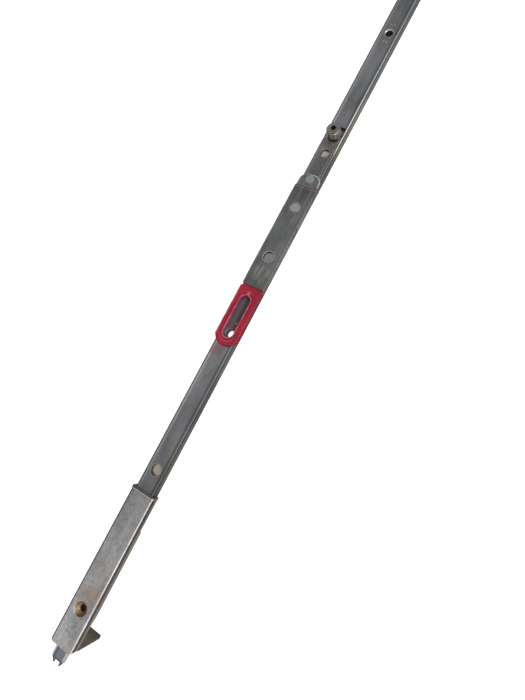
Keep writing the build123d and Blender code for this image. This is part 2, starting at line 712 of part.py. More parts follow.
# Cover plate: joggled sheet, from the catch under the slide to the riveted tongue
with BuildPart() as cover_plate:
    with BuildSketch(Plane.XZ):
        with BuildLine():
            Polyline(
                (up(catch_lower_end), ahead(carriage_face_height)),
                (up(cover_lower_end + joggle_length), ahead(carriage_face_height)),
                (up(cover_lower_end + 2 * joggle_length), ahead(cover_underside)),
                (up(cover_upper_end - joggle_length), ahead(cover_underside)),
                (up(cover_upper_end), ahead(carriage_face_height)),
                (up(cover_tongue_end), ahead(carriage_face_height)),
                (up(cover_tongue_end), ahead(tongue_face)),
                (up(cover_upper_end + cover_joggle), ahead(tongue_face)),
                (up(cover_upper_end + cover_joggle - joggle_length), ahead(cover_face)),
                (up(cover_lower_end), ahead(cover_face)),
                (up(cover_lower_end), ahead(tongue_face)),
                (up(catch_lower_end), ahead(tongue_face)),
                close=True,
            )
        make_face()
    extrude(amount=tab_width / 2, both=True)
    with BuildSketch(Plane.XY.offset(ahead(cover_face))) as cover_outline:
        with Locations((up(cover_tongue_end), 0)):
            Rectangle(cover_tongue_end - cover_lower_end, cover_tongue_width, align=(Align.MAX, Align.CENTER))
        fillet(cover_outline.vertices().group_by(Axis.X)[-1], cover_tongue_corner)
        with Locations((up(cover_lower_end), 0)):
            Rectangle(cover_upper_end - cover_lower_end, cover_width, align=(Align.MIN, Align.CENTER))
            Rectangle(cover_lower_end - catch_lower_end, catch_width, align=(Align.MAX, Align.CENTER))
    extrude(amount=-(cover_face - carriage_face_height), mode=Mode.INTERSECT)
    for tab_start, tab_end in tab_spans:
        bar(up(tab_start), up(tab_end), tab_width / 2, ahead(cover_face), behind(tab_depth))
        bar(up(tab_start), up(tab_end), tab_inner_half, ahead(cover_underside), behind(tab_depth),
            mode=Mode.SUBTRACT)
    upright(up(cover_hole_height), cover_hole_radius, ahead(cover_face), ahead(cover_underside),
            mode=Mode.SUBTRACT)
    for rivet_height in (cover_rivet_height, tongue_rivet_height):
        upright(up(rivet_height), rivet_head_radius, ahead(cover_face), ahead(carriage_face_height),
                mode=Mode.SUBTRACT)
cover_plate.part.label = "cover_plate"
export_step(cover_plate.part, "parts/cover_plate.step")

# Flush rivet in the cover's tongue
with BuildPart() as tongue_rivet:
    upright(up(tongue_rivet_height), rivet_head_radius, ahead(tongue_face), ahead(carriage_face_height))
    upright(up(tongue_rivet_height), rivet_shank_radius, ahead(carriage_face_height), behind(rod_back_depth))
tongue_rivet.part.label = "tongue_rivet"
export_step(tongue_rivet.part, "parts/tongue_rivet.step")

# Flush rivet in the cover's main face
with BuildPart() as cover_rivet:
    upright(up(cover_rivet_height), rivet_head_radius, ahead(cover_face), ahead(carriage_face_height))
    upright(up(cover_rivet_height), rivet_shank_radius, ahead(carriage_face_height), behind(rod_back_depth))
cover_rivet.part.label = "cover_rivet"
export_step(cover_rivet.part, "parts/cover_rivet.step")

# Slot guide: slide over the rail, with a rounded nose and a raised rim round its slot
with BuildPart() as slot_guide:
    with BuildSketch(Plane.XY.offset(ahead(slide_face_height))):
        with BuildLine():
            nose_left = (up(slide_nose_start), slide_nose_width / 2)
            nose_right = (up(slide_nose_start), -slide_nose_width / 2)
            ThreePointArc(nose_left, (up(slide_tip), 0), nose_right)
            Polyline(
                nose_right,
                (up(slide_shoulder), -slide_width / 2),
                (up(cover_lower_end - slide_rear_corner), -slide_width / 2),
                (up(cover_lower_end), slide_rear_corner - slide_width / 2),
                (up(cover_lower_end), slide_width / 2 - slide_rear_corner),
                (up(cover_lower_end - slide_rear_corner), slide_width / 2),
                (up(slide_shoulder), slide_width / 2),
                nose_left,
            )
        make_face()
    extrude(amount=-(slide_face_height + slide_wall_depth))
    fillet(slot_guide.edges().group_by(Axis.Z)[-1], slide_edge_round)
    bar(up(slide_tip - cut_margin), up(cover_lower_end + cut_margin), slide_inner_half,
        ahead(carriage_face_height), behind(slide_wall_depth + cut_margin), mode=Mode.SUBTRACT)
    with BuildSketch(Plane.XY.offset(ahead(slide_face_height))):
        travel_slot(middle_bush_height, slide_slot_width + 2 * slide_rim_width)
    extrude(amount=slide_rim_height)
    fillet(slot_guide.edges().group_by(Axis.Z)[-1], slide_rim_round)
    with BuildSketch(Plane.XY.offset(ahead(slide_face_height + slide_rim_height))):
        travel_slot(middle_bush_height, slide_slot_width)
    extrude(amount=-(slide_face_height + slide_rim_height), mode=Mode.SUBTRACT)
    bar(up(catch_lower_end - catch_pocket_gap), up(cover_lower_end + cut_margin),
        catch_width / 2 + catch_pocket_gap,
        ahead(tongue_face), ahead(carriage_face_height), mode=Mode.SUBTRACT)
slot_guide.part.label = "slot_guide"
export_step(slot_guide.part, "parts/slot_guide.step")

# Rack: straight teeth under the rod, as many as the travel and the overrun need
with BuildPart() as rack:
    with BuildSketch(Plane.XZ):
        rack_points = [
            (rod_travel + rack_overrun, behind(rod_back_depth)),
            (-rack_overrun, behind(rod_back_depth)),
        ]
        first_tooth = -rack_spare_teeth
        last_tooth = round(rod_travel / tooth_pitch) + rack_spare_teeth
        rack_points.append((-rack_overrun, rack_root))
        root_half = tooth_thickness / 2 + rack_dedendum * math.tan(pressure_angle)
        tip_half = tooth_thickness / 2 - rack_addendum * math.tan(pressure_angle)
        for tooth in range(first_tooth, last_tooth + 1):
            tooth_x = tooth * tooth_pitch
            rack_points.append((tooth_x - root_half, rack_root))
            rack_points.append((tooth_x - tip_half, rack_tip))
            rack_points.append((tooth_x + tip_half, rack_tip))
            rack_points.append((tooth_x + root_half, rack_root))
        rack_points.append((rod_travel + rack_overrun, rack_root))
        with BuildLine():
            Polyline(*rack_points, close=True)
        make_face()
    extrude(amount=rack_half_width, both=True)
    for rivet_x in rack_rivet_places:
        upright(rivet_x, case_rivet_radius, behind(rod_back_depth), rack_root, mode=Mode.SUBTRACT)
rack.part.label = "rack"
export_step(rack.part, "parts/rack.step")

# Rivets that hold the rack under the rod
with BuildPart() as rack_rivets:
    for rivet_x in rack_rivet_places:
        upright(rivet_x, case_rivet_radius, behind(rod_face_depth), rack_root)
rack_rivets.part.label = "rack_rivets"
export_step(rack_rivets.part, "parts/rack_rivets.step")


def half_tooth_angle(radius):
    """Angle from a tooth's centre line to its involute flank at this radius."""
    def involute(angle):
        return math.tan(angle) - angle
    angle_here = math.acos(min(1.0, base_radius / radius))
    return tooth_thickness / (2 * pitch_radius) + involute(pressure_angle) - involute(angle_here)


# Outline of one gear tooth along +X: radial below the base circle, involute above it
root_angle = half_tooth_angle(base_radius)
lower_flank = [(root_radius * math.cos(root_angle), -root_radius * math.sin(root_angle))]
for step in range(flank_points):
    flank_radius = base_radius + (outer_radius - base_radius) * step / (flank_points - 1)
    flank_angle = half_tooth_angle(flank_radius)
    lower_flank.append((flank_radius * math.cos(flank_angle), -flank_radius * math.sin(flank_angle)))
upper_flank = [(x, -y) for x, y in reversed(lower_flank)]
with BuildSketch() as gear_tooth:
    with BuildLine():
        Polyline(*lower_flank)
        ThreePointArc(lower_flank[-1], (outer_radius, 0), upper_flank[0])
        Polyline(*upper_flank, lower_flank[0])
    make_face()

# Spindle gear: involute pinion on two journals, with the square socket right through
with BuildPart() as spindle_gear:
    with BuildSketch(Plane.XZ):
        Circle(root_radius)
        with PolarLocations(0, tooth_count, start_angle=90 + 180 / tooth_count):
            add(gear_tooth.sketch)
    extrude(amount=gear_face_width / 2, both=True)
    crosswise(0, 0, gear_journal_radius, -case_half_width, case_half_width)
    with BuildSketch(Plane.XZ):
        Rectangle(spindle_square, spindle_square)
    extrude(amount=case_half_width, both=True, mode=Mode.SUBTRACT)
spindle_gear.part.label = "spindle_gear"
export_step(spindle_gear.part, "parts/spindle_gear.step")

# Washer under the cam
with BuildPart() as cam_washer:
    upright(up(stud_shank_height), washer_radius, ahead(washer_face), ahead(carriage_face_height))
    upright(up(stud_shank_height), stud_shank_radius + running_fit, ahead(washer_face),
            ahead(carriage_face_height), mode=Mode.SUBTRACT)
cam_washer.part.label = "cam_washer"
export_step(cam_washer.part, "parts/cam_washer.step")

# Cam stud: eccentric pin with a collar, a headed foot in the rod and a hexagon socket
with BuildPart() as cam_stud:
    foot_base = rod_back_depth - stud_foot_recess
    foot_top = foot_base - stud_foot_thickness
    upright(up(stud_shank_height), stud_foot_radius, behind(foot_top), behind(foot_base))
    upright(up(stud_shank_height), stud_shank_radius, ahead(collar_base), behind(foot_base))
    upright(up(cam_height), collar_radius, ahead(collar_face), ahead(collar_base))
    upright(up(cam_height), cam_pin_radius, ahead(head_base), ahead(collar_face))
    upright(up(cam_height), stud_head_radius, ahead(head_face), ahead(head_base))
    upright(up(cam_height), stud_ring_radius, ahead(head_face + stud_ring_height), ahead(head_face))
    with BuildSketch(Plane.XY.offset(ahead(head_face + stud_ring_height))):
        with Locations((up(cam_height), 0)):
            RegularPolygon(hexagon_across_flats / 2, 6, major_radius=False)
    extrude(amount=-hexagon_depth, mode=Mode.SUBTRACT)
cam_stud.part.label = "cam_stud"
export_step(cam_stud.part, "parts/cam_stud.step")

# Roller that turns on the stud
with BuildPart() as cam_roller:
    upright(up(cam_height), roller_radius, ahead(roller_base + roller_length), ahead(roller_base))
    chamfer(cam_roller.edges().filter_by(GeomType.CIRCLE), roller_chamfer)
    upright(up(cam_height), cam_pin_radius + running_fit, ahead(roller_base + roller_length),
            ahead(roller_base), mode=Mode.SUBTRACT)
cam_roller.part.label = "cam_roller"
export_step(cam_roller.part, "parts/cam_roller.step")
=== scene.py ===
import math

import bpy
from mathutils import Matrix, Vector


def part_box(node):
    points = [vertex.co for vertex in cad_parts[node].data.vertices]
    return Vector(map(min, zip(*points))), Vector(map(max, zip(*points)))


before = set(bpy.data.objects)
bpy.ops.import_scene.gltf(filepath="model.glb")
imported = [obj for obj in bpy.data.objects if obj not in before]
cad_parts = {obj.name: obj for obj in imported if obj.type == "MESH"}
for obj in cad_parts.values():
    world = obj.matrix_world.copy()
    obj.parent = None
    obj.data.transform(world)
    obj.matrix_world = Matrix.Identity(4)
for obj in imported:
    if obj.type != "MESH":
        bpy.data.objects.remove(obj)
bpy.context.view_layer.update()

# Lengths are in millimetres, as in the part, and heights run up from the end housing's lower end
MM = 0.001
SPINDLE_HEIGHT = 672.0
BACKSET = 17.0


def up(height):
    """X in metres of a height above the lower end of the end housing."""
    return (height - SPINDLE_HEIGHT) * MM


def ahead(distance):
    """Z in metres of a place this far in front of the rail's face."""
    return (BACKSET + distance) * MM


def middle(name):
    """X in metres of the middle of a node."""
    low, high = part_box(name)
    return (low[0] + high[0]) / 2


# Places along the bar, as X in metres
BUSH_HEAD_RADIUS = 4.3 * MM
upper_bushes_low, upper_bushes_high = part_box("screw_bushes_upper")
HOUSING_HOLE = middle("screw_bush_lower")
RAIL_HOLE = up(142.4)
SLOT_HOLE = middle("screw_bush_middle")
COVER_HOLE = up(329.2)
COVER_RIVET = middle("cover_rivet")
TONGUE_RIVET = middle("tongue_rivet")
CARRIAGE_HOLE = up(428.2)
CAM = middle("cam_roller")
UPPER_HOLE = upper_bushes_low[0] + BUSH_HEAD_RADIUS
TOP_HOLE = upper_bushes_high[0] - BUSH_HEAD_RADIUS
CREASES = (up(393.3), up(395.6))
SLOT_TRAVEL = 27.5 * MM

# Radii of the holes and rivet heads that the marks follow
CONE_RADIUS = 5.5 * MM
BORE_RADIUS = 3.0 * MM
COVER_HOLE_RADIUS = 4.6 * MM
CARRIAGE_HOLE_RADIUS = 3.7 * MM
RIVET_HEAD_RADIUS = 3.8 * MM


def new_object(name, data):
    """Object that holds this data, linked to the scene."""
    thing = bpy.data.objects.new(name, data)
    bpy.context.scene.collection.objects.link(thing)
    return thing


def placed(place, side, top, back):
    """Matrix of a camera or light at this place, which looks away from its back."""
    return Matrix.Translation(place) @ Matrix((side, top, back)).transposed().to_4x4()


# Camera at the photograph's viewing angle, with its sensor along the picture's longer side
CAMERA_PLACE = (-0.44666, -0.15102, 0.3547)
CAMERA_RIGHT = Vector((0.4620, -0.84987, -0.2535))
CAMERA_UP = Vector((0.88162, 0.40883, 0.2360))
FOCAL_PIXELS = 473.18
PHOTO_HEIGHT_PIXELS = 700.0
SENSOR = 36.0
NEAREST_SEEN = 0.01

camera_data = bpy.data.cameras.new("camera")
camera_data.sensor_width = SENSOR
camera_data.lens = SENSOR * (FOCAL_PIXELS / PHOTO_HEIGHT_PIXELS)
camera_data.clip_start = NEAREST_SEEN
camera = new_object("camera", camera_data)
camera_side = CAMERA_RIGHT.normalized()
camera_back = camera_side.cross(CAMERA_UP).normalized()
camera.matrix_world = placed(CAMERA_PLACE, camera_side, camera_back.cross(camera_side), camera_back)
bpy.context.scene.camera = camera


class Nodes:
    """Small helper that adds nodes to a tree and joins them."""

    def __init__(self, tree):
        self.tree = tree
        self.coordinates = None

    def add(self, kind, inputs=None, **settings):
        """New node with these settings, and with a link or a plain value for each input that is named."""
        node = self.tree.nodes.new(kind)
        for key, value in settings.items():
            setattr(node, key, value)
        for key, value in (inputs or {}).items():
            self.feed(node, key, value)
        return node

    def feed(self, node, key, value):
        """Link an output to a node's input, or set that input to a plain value."""
        socket = node.inputs[key]
        if isinstance(value, bpy.types.NodeSocket):
            self.tree.links.new(value, socket)
        else:
            socket.default_value = value

    def place(self):
        """Object coordinates in metres."""
        if self.coordinates is None:
            self.coordinates = self.add("ShaderNodeTexCoord").outputs["Object"]
        return self.coordinates

    def axis(self, index):
        """One of the object coordinates."""
        return self.add("ShaderNodeSeparateXYZ", {0: self.place()}).outputs[index]

    def along(self):
        """X in metres, which grows up the bar."""
        return self.axis(0)

    def across(self):
        """Y in metres, which grows to the left in the photograph."""
        return self.axis(1)

    def front(self):
        """Z in metres, which grows from the back of the part to its front."""
        return self.axis(2)

    def math(self, operation, first, second=0.0):
        return self.add("ShaderNodeMath", {0: first, 1: second}, operation=operation).outputs[0]

    def size(self, value):
        """A value without its sign."""
        return self.math("ABSOLUTE", value)

    def plus(self, first, second):
        return self.math("ADD", first, second)

    def minus(self, first, second):
        return self.math("SUBTRACT", first, second)

    def product(self, first, *others):
        """All these values multiplied."""
        for other in others:
            first = self.math("MULTIPLY", first, other)
        return first

    def largest(self, first, *others):
        """Largest of these values."""
        for other in others:
            first = self.math("MAXIMUM", first, other)
        return first

    def distance(self, first, second):
        """Length of a step whose two parts, at right angles to each other, are these."""
        squares = self.plus(self.product(first, first), self.product(second, second))
        return self.math("SQRT", squares)

    def swing(self, noise, width):
        """Noise moved to swing about zero, over this width."""
        return self.product(self.minus(noise, 0.5), width)

    def noise(self, scale, stretch=(1.0, 1.0, 1.0), detail=3.0, roughness=0.5, offset=(0.0, 0.0, 0.0)):
        """Noise with this many waves per metre, drawn out along an axis where its stretch is below 1."""
        moved = self.add("ShaderNodeMapping", {"Vector": self.place(), "Scale": stretch, "Location": offset})
        settings = {"Vector": moved.outputs[0], "Scale": scale, "Detail": detail, "Roughness": roughness}
        return self.add("ShaderNodeTexNoise", settings).outputs[0]

    def band(self, value, low, high, out_low=0.0, out_high=1.0):
        """Value from low to high, smoothly remapped."""
        node = self.add("ShaderNodeMapRange", {0: value, 1: low, 2: high, 3: out_low, 4: out_high},
                        interpolation_type="SMOOTHSTEP")
        return node.outputs[0]

    def inside(self, value, low, high, softness):
        """1 where the value lies between low and high, and 0 elsewhere."""
        rising = self.band(value, low - softness, low + softness)
        falling = self.band(value, high + softness, high - softness)
        return self.product(rising, falling)

    def reach(self, x, y=0.0):
        """Distance from the line through (x, y) that runs straight from back to front."""
        return self.distance(self.minus(self.along(), x), self.minus(self.across(), y))

    def spot(self, x, y, radius, softness, raggedness=0.0, scale=0.0):
        """1 inside a round patch about (x, y), with a ragged rim, and 0 outside it."""
        reach = self.reach(x, y)
        if raggedness:
            reach = self.plus(reach, self.swing(self.noise(scale, detail=4.0), raggedness))
        return self.band(reach, radius + softness, radius - softness)

    def mix(self, share, first, second):
        """First colour, with this share of the second."""
        return self.add("ShaderNodeMix", {0: share, 6: first, 7: second}, data_type="RGBA").outputs[2]

    def scaled(self, tone, shade):
        """Colour times a grey value."""
        node = self.add("ShaderNodeMix", {0: 1.0, 6: tone, 7: shade}, data_type="RGBA", blend_type="MULTIPLY")
        return node.outputs[2]

    def paint(self, tone, mask, strength, layer):
        """Colour with a layer over it where the mask is 1, at this strength."""
        return self.mix(self.product(mask, strength), tone, layer)

    def dress(self, shader, tone, rough, relief, strength, depth):
        """Feed colour, roughness and a fine relief of this depth into a shader."""
        bump = self.add("ShaderNodeBump", {"Height": relief, "Strength": strength, "Distance": depth})
        self.feed(shader, "Base Color", tone)
        self.feed(shader, "Roughness", rough)
        self.feed(shader, "Normal", bump.outputs[0])


def color(red, green, blue):
    """Linear colour from sRGB values of 0 to 255."""
    def linear(value):
        value = value / 255.0
        return value / 12.92 if value <= 0.04045 else ((value + 0.055) / 1.055) ** 2.4
    return (linear(red), linear(green), linear(blue), 1.0)


def new_material(name):
    """Material, the helper for its node tree, and its shader."""
    material = bpy.data.materials.new(name)
    material.use_nodes = True
    tree = material.node_tree
    return material, Nodes(tree), tree.nodes["Principled BSDF"]


METALLIC = 0.92
STAIN_STRENGTH = 0.35
GRAIN_DEPTH = 0.04 * MM


def plate_metal(name, clean, stained, roughness, mottle=0.35, brush=0.36, grain=0.2, marks=()):
    """Worn plated steel: mottling, fine grain, lengthwise brushing, warm stains and a piece's own marks."""
    material, net, shader = new_material(name)
    clouds = net.noise(38.0, stretch=(0.45, 1.0, 1.0), detail=5.0, roughness=0.6)
    speckle = net.noise(900.0, stretch=(0.6, 1.0, 1.0), roughness=0.65)
    lines = net.noise(2600.0, stretch=(0.012, 1.0, 1.0), detail=2.0)
    stains = net.noise(85.0, stretch=(0.35, 1.0, 1.0), detail=4.0, roughness=0.6, offset=(3.1, 0.4, 1.7))
    tone = net.mix(net.band(stains, 0.48, 0.7, 0.0, STAIN_STRENGTH), clean, stained)
    shade = net.plus(net.band(clouds, 0.3, 0.7, 1.0 - mottle, 1.0 + mottle * 0.6), net.swing(lines, brush))
    tone = net.scaled(tone, net.plus(shade, net.swing(speckle, 0.7)))
    rough = net.band(clouds, 0.3, 0.7, roughness + 0.08, roughness - 0.05)
    rough = net.plus(rough, net.swing(speckle, 0.25))
    for mark in marks:
        tone, rough = mark(net, tone, rough)
    relief = net.plus(net.product(lines, 0.6), net.product(speckle, 0.6))
    net.dress(shader, tone, rough, relief, grain, GRAIN_DEPTH)
    shader.inputs["Metallic"].default_value = METALLIC
    return material


def housing_wear(net, tone, rough):
    """Patchy plating, painted shade that darkens it upwards, a warm stretch, and painted dark lines down both
    sides.
    """
    along = net.along()
    across = net.across()
    # Painted shade: the housing grows darker towards its upper end
    painted_shade_upwards = net.product(net.band(along, up(5.0), up(70.0), 0.95, 0.78),
                       net.band(along, up(70.0), up(118.0), 1.0, 0.84))
    tone = net.scaled(tone, painted_shade_upwards)
    grit = net.noise(340.0, detail=4.0, roughness=0.65, offset=(1.0, 8.0, 2.0))
    tone = net.scaled(tone, net.band(grit, 0.32, 0.68, 0.84, 1.12))
    patches = net.band(net.noise(150.0, offset=(4.0, 1.0, 6.0)), 0.42, 0.6)
    warm = net.product(net.inside(along, up(36.0), up(72.0), 9.0 * MM), patches,
                       net.band(net.size(across), 8.6 * MM, 7.0 * MM))
    tone = net.paint(tone, warm, 0.26, color(168, 144, 116))
    # Painted shade: a dark line along the left bend, which faces away from the light
    left_shade_line = net.product(net.band(across, 8.7 * MM, 9.3 * MM),
                            net.band(net.front(), ahead(-0.8), ahead(0.0)))
    tone = net.paint(tone, left_shade_line, 0.9, color(44, 44, 46))
    # Painted reflection: a dark line down the right side, where the bend mirrors dark surroundings
    right_dark_reflection = net.product(net.band(across, -9.8 * MM, -10.1 * MM),
                             net.inside(net.front(), ahead(-3.0), ahead(0.0), 0.4 * MM))
    tone = net.paint(tone, right_dark_reflection, 0.9, color(48, 46, 50))
    return tone, rough


def housing_hole(net, tone, rough):
    """Rust in the screw hole's cone, a bloom and freckles of rust above it, and a painted highlight on its
    rim's left side.
    """
    reach = net.reach(HOUSING_HOLE)
    cone = net.product(net.band(reach, CONE_RADIUS, CONE_RADIUS - 0.2 * MM),
                       net.band(net.front(), ahead(1.26), ahead(1.1)))
    grain = net.band(net.noise(700.0, detail=4.0), 0.35, 0.65)
    tone = net.mix(cone, tone, net.mix(grain, color(150, 120, 96), color(176, 150, 124)))
    bloom = net.spot(up(42.0), -3.0 * MM, 6.0 * MM, 8.0 * MM, raggedness=20.0 * MM, scale=160.0)
    tone = net.paint(tone, bloom, 0.35, color(170, 132, 96))
    freckles = net.band(net.noise(820.0, offset=(5.0, 2.0, 0.0)), 0.54, 0.66)
    freckles = net.product(net.spot(up(38.0), -5.0 * MM, 4.0 * MM, 6.0 * MM), freckles)
    tone = net.paint(tone, freckles, 0.8, color(150, 88, 48))
    # Painted highlight on the left of the cone's rim, which catches the light
    rim = net.product(net.inside(reach, CONE_RADIUS - 0.15 * MM, CONE_RADIUS + 0.25 * MM, 0.15 * MM),
                      net.band(net.across(), 0.0, 2.5 * MM))
    tone = net.paint(tone, rim, 0.8, color(232, 226, 214))
    return tone, net.plus(rough, net.product(cone, 0.2))


def housing_ends(net, tone, rough):
    """Dark scratches below the hole, a painted highlight and a painted shade line at the upper lip, painted
    shade on the rolled end, and a skirt warmed by a painted reflection.
    """
    along = net.along()
    scratches = net.band(net.noise(1500.0, stretch=(0.5, 0.06, 1.0), detail=1.0), 0.63, 0.68)
    scratches = net.product(scratches, net.spot(up(15.5), 0.0, 4.0 * MM, 2.0 * MM))
    tone = net.paint(tone, scratches, 0.7, color(70, 70, 72))
    # Painted highlight on the upper lip's bevel
    lip = net.inside(along, up(122.3), up(123.3), 0.2 * MM)
    tone = net.paint(tone, lip, 0.45, color(226, 220, 208))
    # Painted shade in the groove below the lip
    groove = net.inside(along, up(121.6), up(122.2), 0.2 * MM)
    tone = net.paint(tone, groove, 0.6, color(60, 58, 60))
    # Painted shade on the rolled end, which faces away from the light
    rolled = net.band(along, up(123.3), up(123.6))
    tone = net.paint(tone, rolled, 0.45, color(150, 144, 136))
    # Painted reflection: the lower side walls warmed as if mirroring the floor
    skirt = net.band(net.front(), ahead(-1.2), ahead(-2.2))
    tone = net.paint(tone, skirt, 0.55, color(168, 150, 136))
    return tone, rough


def rail_sides(net, tone, rough):
    """Painted highlights on the bends, painted shade, a warm painted highlight and a cool painted reflection
    down the right wall, and a painted highlight on the left slope.
    """
    along = net.along()
    across = net.across()
    front = net.front()
    # Painted highlight along both bends
    bend = net.product(net.inside(net.size(across), 6.9 * MM, 8.6 * MM, 0.25 * MM),
                       net.band(front, ahead(-2.0), ahead(-1.0)))
    tone = net.paint(tone, bend, net.band(along, up(290.0), up(410.0), 0.12, 0.5), color(184, 190, 194))
    rough = net.minus(rough, net.product(bend, 0.08))
    right_wall = net.band(across, -6.6 * MM, -7.0 * MM)
    # Painted shade: the right wall darker and rougher below the highlight's lower end
    dull = net.product(right_wall, net.band(along, up(436.0), up(424.0)),
                       net.band(front, ahead(-1.8), ahead(-1.2)))
    tone = net.paint(tone, dull, 0.7, color(96, 96, 94))
    rough = net.plus(rough, net.product(dull, 0.25))
    # Painted highlight: warm light along the right wall
    warm = net.product(right_wall, net.inside(along, up(430.0), up(484.0), 8.0 * MM))
    tone = net.paint(tone, warm, 0.5, color(172, 166, 154))
    # Painted reflection: cool grey-blue along the right wall higher up
    cool = net.product(right_wall, net.band(along, up(476.0), up(496.0)))
    tone = net.paint(tone, cool, 0.5, color(134, 142, 148))
    rough = net.plus(rough, net.product(cool, 0.12))
    # Painted highlight on the recess's left slope, which faces the light
    left_slope = net.inside(across, 5.6 * MM, 6.7 * MM, 0.2 * MM)
    tone = net.paint(tone, left_slope, 0.35, color(184, 174, 156))
    return tone, rough


STAKE_OFFSET = 8.5 * MM
STAKE_ASIDE = 1.4 * MM
PIT_ABOVE_BUSH = 8.9 * MM
PIT_ASIDE = 1.2 * MM


def rail_holes(net, tone, rough):
    """Clean metal under the cover's hole, painted shade and a painted reflection in the well, a painted glint
    and shade at the pit, and pale rims round the stakes and lower hole.
    """
    across = net.across()
    well = net.product(net.inside(net.along(), up(256.0), up(294.0), 0.3 * MM),
                       net.band(net.size(across), 4.75 * MM, 4.6 * MM))
    window = net.band(net.reach(COVER_HOLE), COVER_HOLE_RADIUS, COVER_HOLE_RADIUS - 0.2 * MM)
    tone = net.paint(tone, window, 0.7, color(168, 170, 164))
    # Painted shade on the well's floor, with a painted mauve reflection of the red slide on its left
    well_tone = net.mix(net.band(across, -1.2 * MM, 2.2 * MM), color(70, 67, 60), color(128, 106, 116))
    tone = net.paint(tone, well, 0.85, well_tone)
    pit = net.reach(SLOT_HOLE + PIT_ABOVE_BUSH, -PIT_ASIDE)
    # Painted glint round the pit and painted shade inside it
    tone = net.paint(tone, net.inside(pit, 0.55 * MM, 0.95 * MM, 0.12 * MM), 0.7, color(206, 200, 190))
    tone = net.paint(tone, net.band(pit, 0.6 * MM, 0.5 * MM), 0.7, color(40, 38, 36))
    for hole in (UPPER_HOLE, TOP_HOLE):
        for stake in (hole - STAKE_OFFSET, hole + STAKE_OFFSET):
            for aside in (-STAKE_ASIDE, STAKE_ASIDE):
                ring = net.inside(net.reach(stake, aside), 0.5 * MM, 0.85 * MM, 0.12 * MM)
                tone = net.paint(tone, ring, 0.7, color(214, 204, 184))
    ring = net.inside(net.reach(RAIL_HOLE), 4.4 * MM, 5.0 * MM, 0.2 * MM)
    tone = net.paint(tone, ring, 0.5, color(204, 196, 180))
    return tone, net.plus(rough, net.product(well, 0.15))


def rail_face(net, tone, rough):
    """Painted shade darkening it below and lighter above, a painted red reflection below the slide, a painted
    shadow by the housing, a looped scratch.
    """
    along = net.along()
    across = net.across()
    # Painted shade towards the housing, and lighter higher up
    tone = net.scaled(tone, net.band(along, up(130.0), up(215.0), 0.62, 1.0))
    tone = net.scaled(tone, net.band(along, up(440.0), up(470.0), 1.0, 1.18))
    # Painted reflection of the red slide on the rail below it
    red_reflection = net.product(net.inside(along, up(241.0), up(250.0), 2.0 * MM),
                       net.band(across, -5.0 * MM, -1.0 * MM))
    tone = net.paint(tone, red_reflection, 0.35, color(150, 60, 72))
    # Painted shadow on the rail just above the housing
    tone = net.paint(tone, net.band(along, up(134.0), up(127.0)), 0.35, color(96, 88, 76))
    loop = net.distance(net.product(net.minus(along, up(485.8)), 0.42), net.minus(across, -0.9 * MM))
    scratch = net.product(net.inside(loop, 1.3 * MM, 1.7 * MM, 0.15 * MM),
                          net.band(net.noise(500.0, detail=2.0), 0.4, 0.5))
    tone = net.paint(tone, scratch, 0.4, color(196, 198, 200))
    return tone, rough


def cover_streaks(net, tone, rough):
    """Broken painted highlight on the right edge, light and dark brushed streaks, and painted highlights on
    the creases where the tongue steps down.
    """
    along = net.along()
    broken = net.band(net.noise(420.0), 0.35, 0.55)
    # Painted highlight along the right edge, broken up by noise
    edge = net.product(net.band(net.across(), -9.15 * MM, -9.45 * MM), broken)
    tone = net.paint(tone, edge, 0.6, color(190, 184, 166))
    light = net.band(net.noise(620.0, stretch=(0.02, 1.0, 1.0), roughness=0.6), 0.5, 0.68)
    tone = net.paint(tone, light, 0.45, color(170, 172, 170))
    dark = net.noise(480.0, stretch=(0.03, 1.0, 1.0), detail=2.0, offset=(7.0, 3.0, 0.0))
    tone = net.paint(tone, net.band(dark, 0.45, 0.3), 0.35, color(84, 88, 90))
    tone = net.scaled(tone, net.band(along, up(392.5), up(396.0), 1.0, 1.28))
    # Painted highlights along the creases
    for crease in CREASES:
        line = net.inside(along, crease - 0.35 * MM, crease + 0.35 * MM, 0.2 * MM)
        tone = net.paint(tone, line, 0.45, color(214, 202, 178))
    return tone, rough


def cover_spots(net, tone, rough):
    """Rusty ring round the rivet, a painted highlight on the hole's rim, beige smear and a painted highlight
    round the tongue's tip.
    """
    along = net.along()
    across = net.across()
    ring = net.inside(net.reach(COVER_RIVET), RIVET_HEAD_RADIUS - 0.05 * MM, RIVET_HEAD_RADIUS + 0.9 * MM,
                      0.25 * MM)
    broken = net.band(net.noise(420.0), 0.35, 0.55)
    patchy = net.band(net.noise(300.0, detail=2.0, offset=(2.0, 5.0, 0.0)), 0.42, 0.52)
    tone = net.paint(tone, net.product(ring, broken), 0.7, color(176, 156, 128))
    tone = net.paint(tone, net.product(ring, patchy), 0.6, color(222, 216, 196))
    # Painted highlight round the hole's rim
    rim = net.inside(net.reach(COVER_HOLE), COVER_HOLE_RADIUS - 0.05 * MM, COVER_HOLE_RADIUS + 0.4 * MM,
                     0.15 * MM)
    tone = net.paint(tone, rim, 0.7, color(226, 220, 204))
    smear = net.product(net.spot(up(315.0), 0.0, 6.0 * MM, 5.0 * MM, raggedness=10.0 * MM, scale=180.0),
                        net.band(net.noise(900.0, stretch=(0.08, 1.0, 1.0)), 0.42, 0.62))
    tone = net.paint(tone, smear, 0.75, color(196, 190, 172))
    # Painted highlight along the edge round the tongue's tip
    corner = net.distance(net.largest(net.minus(along, up(400.0)), 0.0),
                          net.largest(net.minus(net.size(across), 2.6 * MM), 0.0))
    tip = net.product(net.band(corner, 5.6 * MM, 5.9 * MM), net.band(along, up(396.0), up(397.5)),
                      net.band(across, 4.0 * MM, -3.0 * MM, 0.3, 1.0))
    return net.mix(tip, tone, color(240, 236, 224)), rough


